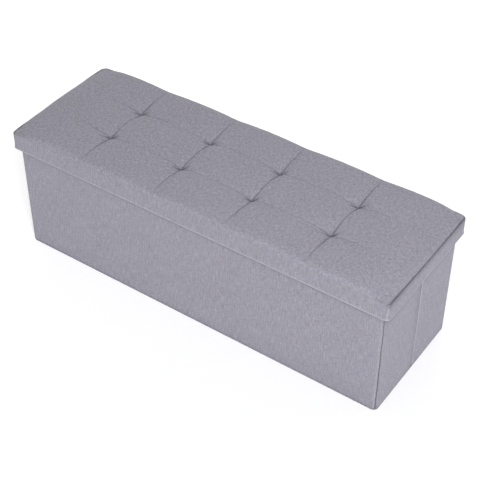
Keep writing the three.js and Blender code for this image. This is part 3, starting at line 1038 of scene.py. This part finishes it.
def make_corner_seams():
    """The closed seam down each corner, on the wall that the corner belongs to."""
    heights = np.linspace(WALL_BOTTOM + 2 * MM, WALL_TOP - 2 * MM, 90)
    for side, sx in SIDES:
        for depth, sy, body in DEPTHS:
            wander = 1.3 * MM * ripple(heights, 110 * MM, 31 + sx + 2 * sy)
            wander = wander + 0.4 * MM * ripple(heights, 18 * MM, 41)
            tight = smooth(1.15 - (heights - WALL_BOTTOM) / (WALL_TOP - WALL_BOTTOM))
            radius = SEAM_CORD_LOOSE + (SEAM_CORD_TIGHT - SEAM_CORD_LOOSE) * tight
            round_by = corner_radius(sx, sy)
            reach = (round_by - 0.45 * MM) / math.sqrt(2)
            x = sx * (BODY_HIGH.x - round_by + reach + wander / math.sqrt(2))
            y = sy * (BODY_HIGH.y - round_by + reach - wander / math.sqrt(2))
            points, faces = cord_mesh(np.stack([x, y, heights], -1), radius)
            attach(add_piece(f"corner_seam_{side}_{depth}", points, faces, SEAM_THREAD), body)


HINGE_DEPTH = 0.85 * MM
HINGE_STEPS = [0.35, 0.7, 1.1, 1.6, 2.4, 4, 7]


def make_crease_hinges():
    """The strip of cloth that joins the two halves of an end behind their covers."""
    for side, sx in SIDES:
        x = sx * (BODY_HIGH.x - HINGE_DEPTH)
        ys = np.array([*[-y for y in HINGE_STEPS[::-1]], 0, *HINGE_STEPS]) * MM * sx
        zs = np.linspace(WALL_TOP - 3 * MM, WALL_BOTTOM + 3 * MM, 30)
        grid_z, grid_y = np.meshgrid(zs, ys, indexing="ij")
        fold = 3.2 * MM * bell(grid_y, 1.0 * MM)
        points = np.stack([x - sx * fold, grid_y, grid_z], -1)
        body, faces, cloth = sheet_mesh(points, 0.4 * MM, -zs, ys)
        # painted shade over the whole strip, which lies deep in the crease
        shade = np.full(len(body), HINGE_SHADE)
        piece = add_piece(f"crease_hinge_{side}", body, faces, LINEN, cloth, shade)
        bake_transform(piece)


# ---------------------------------------------------------------- stiff layers cut to the round corners

LAYER = BODY_HIGH.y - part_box("back_board")[1].y
BASE_GAP = 0.3 * MM
BASE_CLOTH = 1.0 * MM


def add_stack(name, rings, material, body, replaced):
    """A closed solid through rings of (plan, height), with a flat cap on the first and the last."""
    count = len(rings[0][0])
    points = [(x, y, z) for plan, z in rings for x, y in plan]
    faces = [tuple(reversed(range(count)))]
    for row in range(len(rings) - 1):
        a, b = row * count, (row + 1) * count
        faces += [(a + k, a + (k + 1) % count, b + (k + 1) % count, b + k) for k in range(count)]
    faces.append(tuple(range(len(points) - count, len(points))))
    piece = add_piece(name, points, faces, material)
    piece.data.polygons.foreach_set("use_smooth", [False] * len(piece.data.polygons))
    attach(piece, body)
    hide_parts(replaced)
    return piece


def long_wall_plan(node, inset):
    """Plan of a long wall's layer, with its ends cut to the round corners, inset from the cover's face."""
    low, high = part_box(node)
    sy = 1 if high.y > 0 else -1
    near, far = sorted((abs(low.y), abs(high.y)))
    plan = []
    for sx in (1, -1):
        outer = corner_radius(sx, sy)
        radius, middle_x, middle_y = outer - inset, BODY_HIGH.x - outer, BODY_HIGH.y - outer
        first = math.asin((near - middle_y) / radius)
        last = math.asin(min((far - middle_y) / radius, 1))
        arc = [(sx * (middle_x + radius * math.cos(a)), sy * (middle_y + radius * math.sin(a)))
               for a in np.linspace(first, last, 9)]
        plan += arc[::sx]
    return plan[::sy]


def base_plan(inset):
    radii = np.array([corner_radius(sx, sy) for sx, sy in CORNERS]) - inset
    return rounded_plan(BODY_HIGH.x - inset, BODY_HIGH.y - inset, radii, 60 * MM)[0]


def add_layer(name, plan, material, body, node):
    """A flat layer of that plan, as tall as the CAD node that it replaces."""
    low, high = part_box(node)
    return add_stack(name, [(plan, low.z), (plan, high.z)], material, body, node)


def make_stiff_layers():
    """Boards, linings and base whose corners are as round as the cloth's. The CAD's corners are tighter."""
    for side, body in (("front", "front_panel"), ("back", "box_back")):
        board, lining = f"{side}_board", f"{side}_lining"
        add_layer(f"panel_{side}", long_wall_plan(board, LAYER), FIBREBOARD, body, board)
        plan = long_wall_plan(lining, CLOTH + 0.2 * MM)
        piece = add_layer(f"lining_{side}", plan, NONWOVEN, body, lining)
        low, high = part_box(lining)
    add_layer("panel_base", base_plan(LAYER), FIBREBOARD, "box_back", "base_board")
    piece = add_layer("lining_base", base_plan(LAYER), NONWOVEN, "box_back", "base_lining")
    low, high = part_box("base_cover")
    outer, inner = base_plan(0), base_plan(BASE_CLOTH)
    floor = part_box("base_board")[0].z - BASE_GAP
    rings = [(outer, low.z), (outer, high.z), (inner, high.z), (inner, floor)]
    piece = add_stack("cover_base", rings, LINEN_BASE, "box_back", "base_cover")


# ---------------------------------------------------------------- CAD nodes that stay

def dress_nodes():
    looks = {"board": FIBREBOARD, "strip": FIBREBOARD, "lining": NONWOVEN, "tie": THREAD}
    for name, cad_object in NODES.items():
        for word, material in looks.items():
            if word in name.split("_"):
                cad_object.data.materials.clear()
                cad_object.data.materials.append(material)


# ---------------------------------------------------------------- stage, light and camera

KEY_PLACE = (1.75, -2.0, 2.65)
FLOOR_GLOW = 0.67
SWEEP_GLOW = 0.26
KEY_ON_FLOOR = 18.0
SWEEP_TOP = 1.4
SWEEP = [(0.0, 0.0), (8.0, 0.0), (8.8, 0.15), (9.4, 0.6), (9.7, 1.3), (9.8, 3.4)]


def make_floor():
    """A pale floor that turns up into a low wall all round, like a studio sweep. It gives off light of its
    own, less where the key light reaches it, so that the floor is evenly lit."""
    turns = 48
    points, faces = [(0, 0, 0)], []
    for reach, height in SWEEP[1:]:
        for k in range(turns):
            angle = 2 * math.pi * k / turns
            points.append((reach * math.cos(angle), reach * math.sin(angle), height))
    for k in range(turns):
        after = (k + 1) % turns
        faces.append((0, 1 + k, 1 + after))
        for ring in range(len(SWEEP) - 2):
            low, high = 1 + ring * turns, 1 + (ring + 1) * turns
            faces.append((low + k, high + k, high + after, low + after))
    mesh = bpy.data.meshes.new("floor")
    mesh.from_pydata(points, [], faces)
    mesh.polygons.foreach_set("use_smooth", [True] * len(mesh.polygons))
    floor = add_object("floor", mesh)
    made, tree, shader = new_material("floor_white", 0.9)
    shader.inputs["Base Color"].default_value = (0.78, 0.78, 0.78, 1)
    shader.inputs["Emission Color"].default_value = (1, 1, 1, 1)
    place = node(tree, "NewGeometry").outputs["Position"]
    height = node(tree, "SeparateXYZ", {0: place}).outputs[2]
    from_key = node(tree, "VectorMath", {0: place, 1: KEY_PLACE}, operation="DISTANCE").outputs["Value"]
    lit = calc(tree, "MULTIPLY", calc(tree, "POWER", from_key, -3.0), KEY_ON_FLOOR)
    even = calc(tree, "MAXIMUM", calc(tree, "SUBTRACT", FLOOR_GLOW, lit), 0.0)
    inputs = {"Value": height, "From Min": 0.0, "From Max": SWEEP_TOP, "To Min": even, "To Max": SWEEP_GLOW}
    glow = node(tree, "MapRange", inputs, interpolation_type="SMOOTHSTEP")
    tree.links.new(glow.outputs["Result"], shader.inputs["Emission Strength"])
    mesh.materials.append(made)


WORLD_STRENGTH = 0.46


def make_world():
    world = bpy.data.worlds.new("studio")
    bpy.context.scene.world = world
    world.use_nodes = True
    background = world.node_tree.nodes["Background"]
    background.inputs["Color"].default_value = (1, 1, 1, 1)
    background.inputs["Strength"].default_value = WORLD_STRENGTH


def look_from(made, place, target):
    made.location = place
    made.rotation_mode = "QUATERNION"
    made.rotation_quaternion = (Vector(target) - Vector(place)).to_track_quat("-Z", "Y")


def add_light(name, place, aim, size, power, colour):
    light = bpy.data.lights.new(name, "AREA")
    light.shape = "RECTANGLE"
    light.size, light.size_y = size
    light.energy = power
    light.color = colour
    look_from(add_object(name, light), place, aim)


CAMERA_AZIMUTH, CAMERA_ELEVATION = 34.92, 41.47
CAMERA_DISTANCE = 3.2144
CAMERA_TARGET = (0.0231, 0.0119, 0.1504)
CAMERA_LENS = 90.94


def make_camera():
    data = bpy.data.cameras.new("camera")
    camera = add_object("camera", data)
    bpy.context.scene.camera = camera
    data.sensor_width = 36
    data.lens = CAMERA_LENS
    a, e = math.radians(CAMERA_AZIMUTH), math.radians(CAMERA_ELEVATION)
    back = Vector((math.sin(a) * math.cos(e), -math.cos(a) * math.cos(e), math.sin(e)))
    look_from(camera, Vector(CAMERA_TARGET) + back * CAMERA_DISTANCE, CAMERA_TARGET)
    data.clip_start, data.clip_end = 0.05, 60


make_camera()
make_cushion()
make_skirt()
make_covers()
make_corner_seams()
make_crease_hinges()
make_stiff_layers()
dress_nodes()
make_floor()
make_world()
add_light("key", KEY_PLACE, (0.25, -0.05, 0.25), (1.1, 1.1), 88, (0.96, 0.97, 1.0))
add_light("back_fill", (-1.6, 3.2, 1.8), (0, 0, 0.2), (2.4, 1.6), 30, (1.0, 0.99, 0.98))
bpy.context.scene.view_settings.view_transform = "Standard"
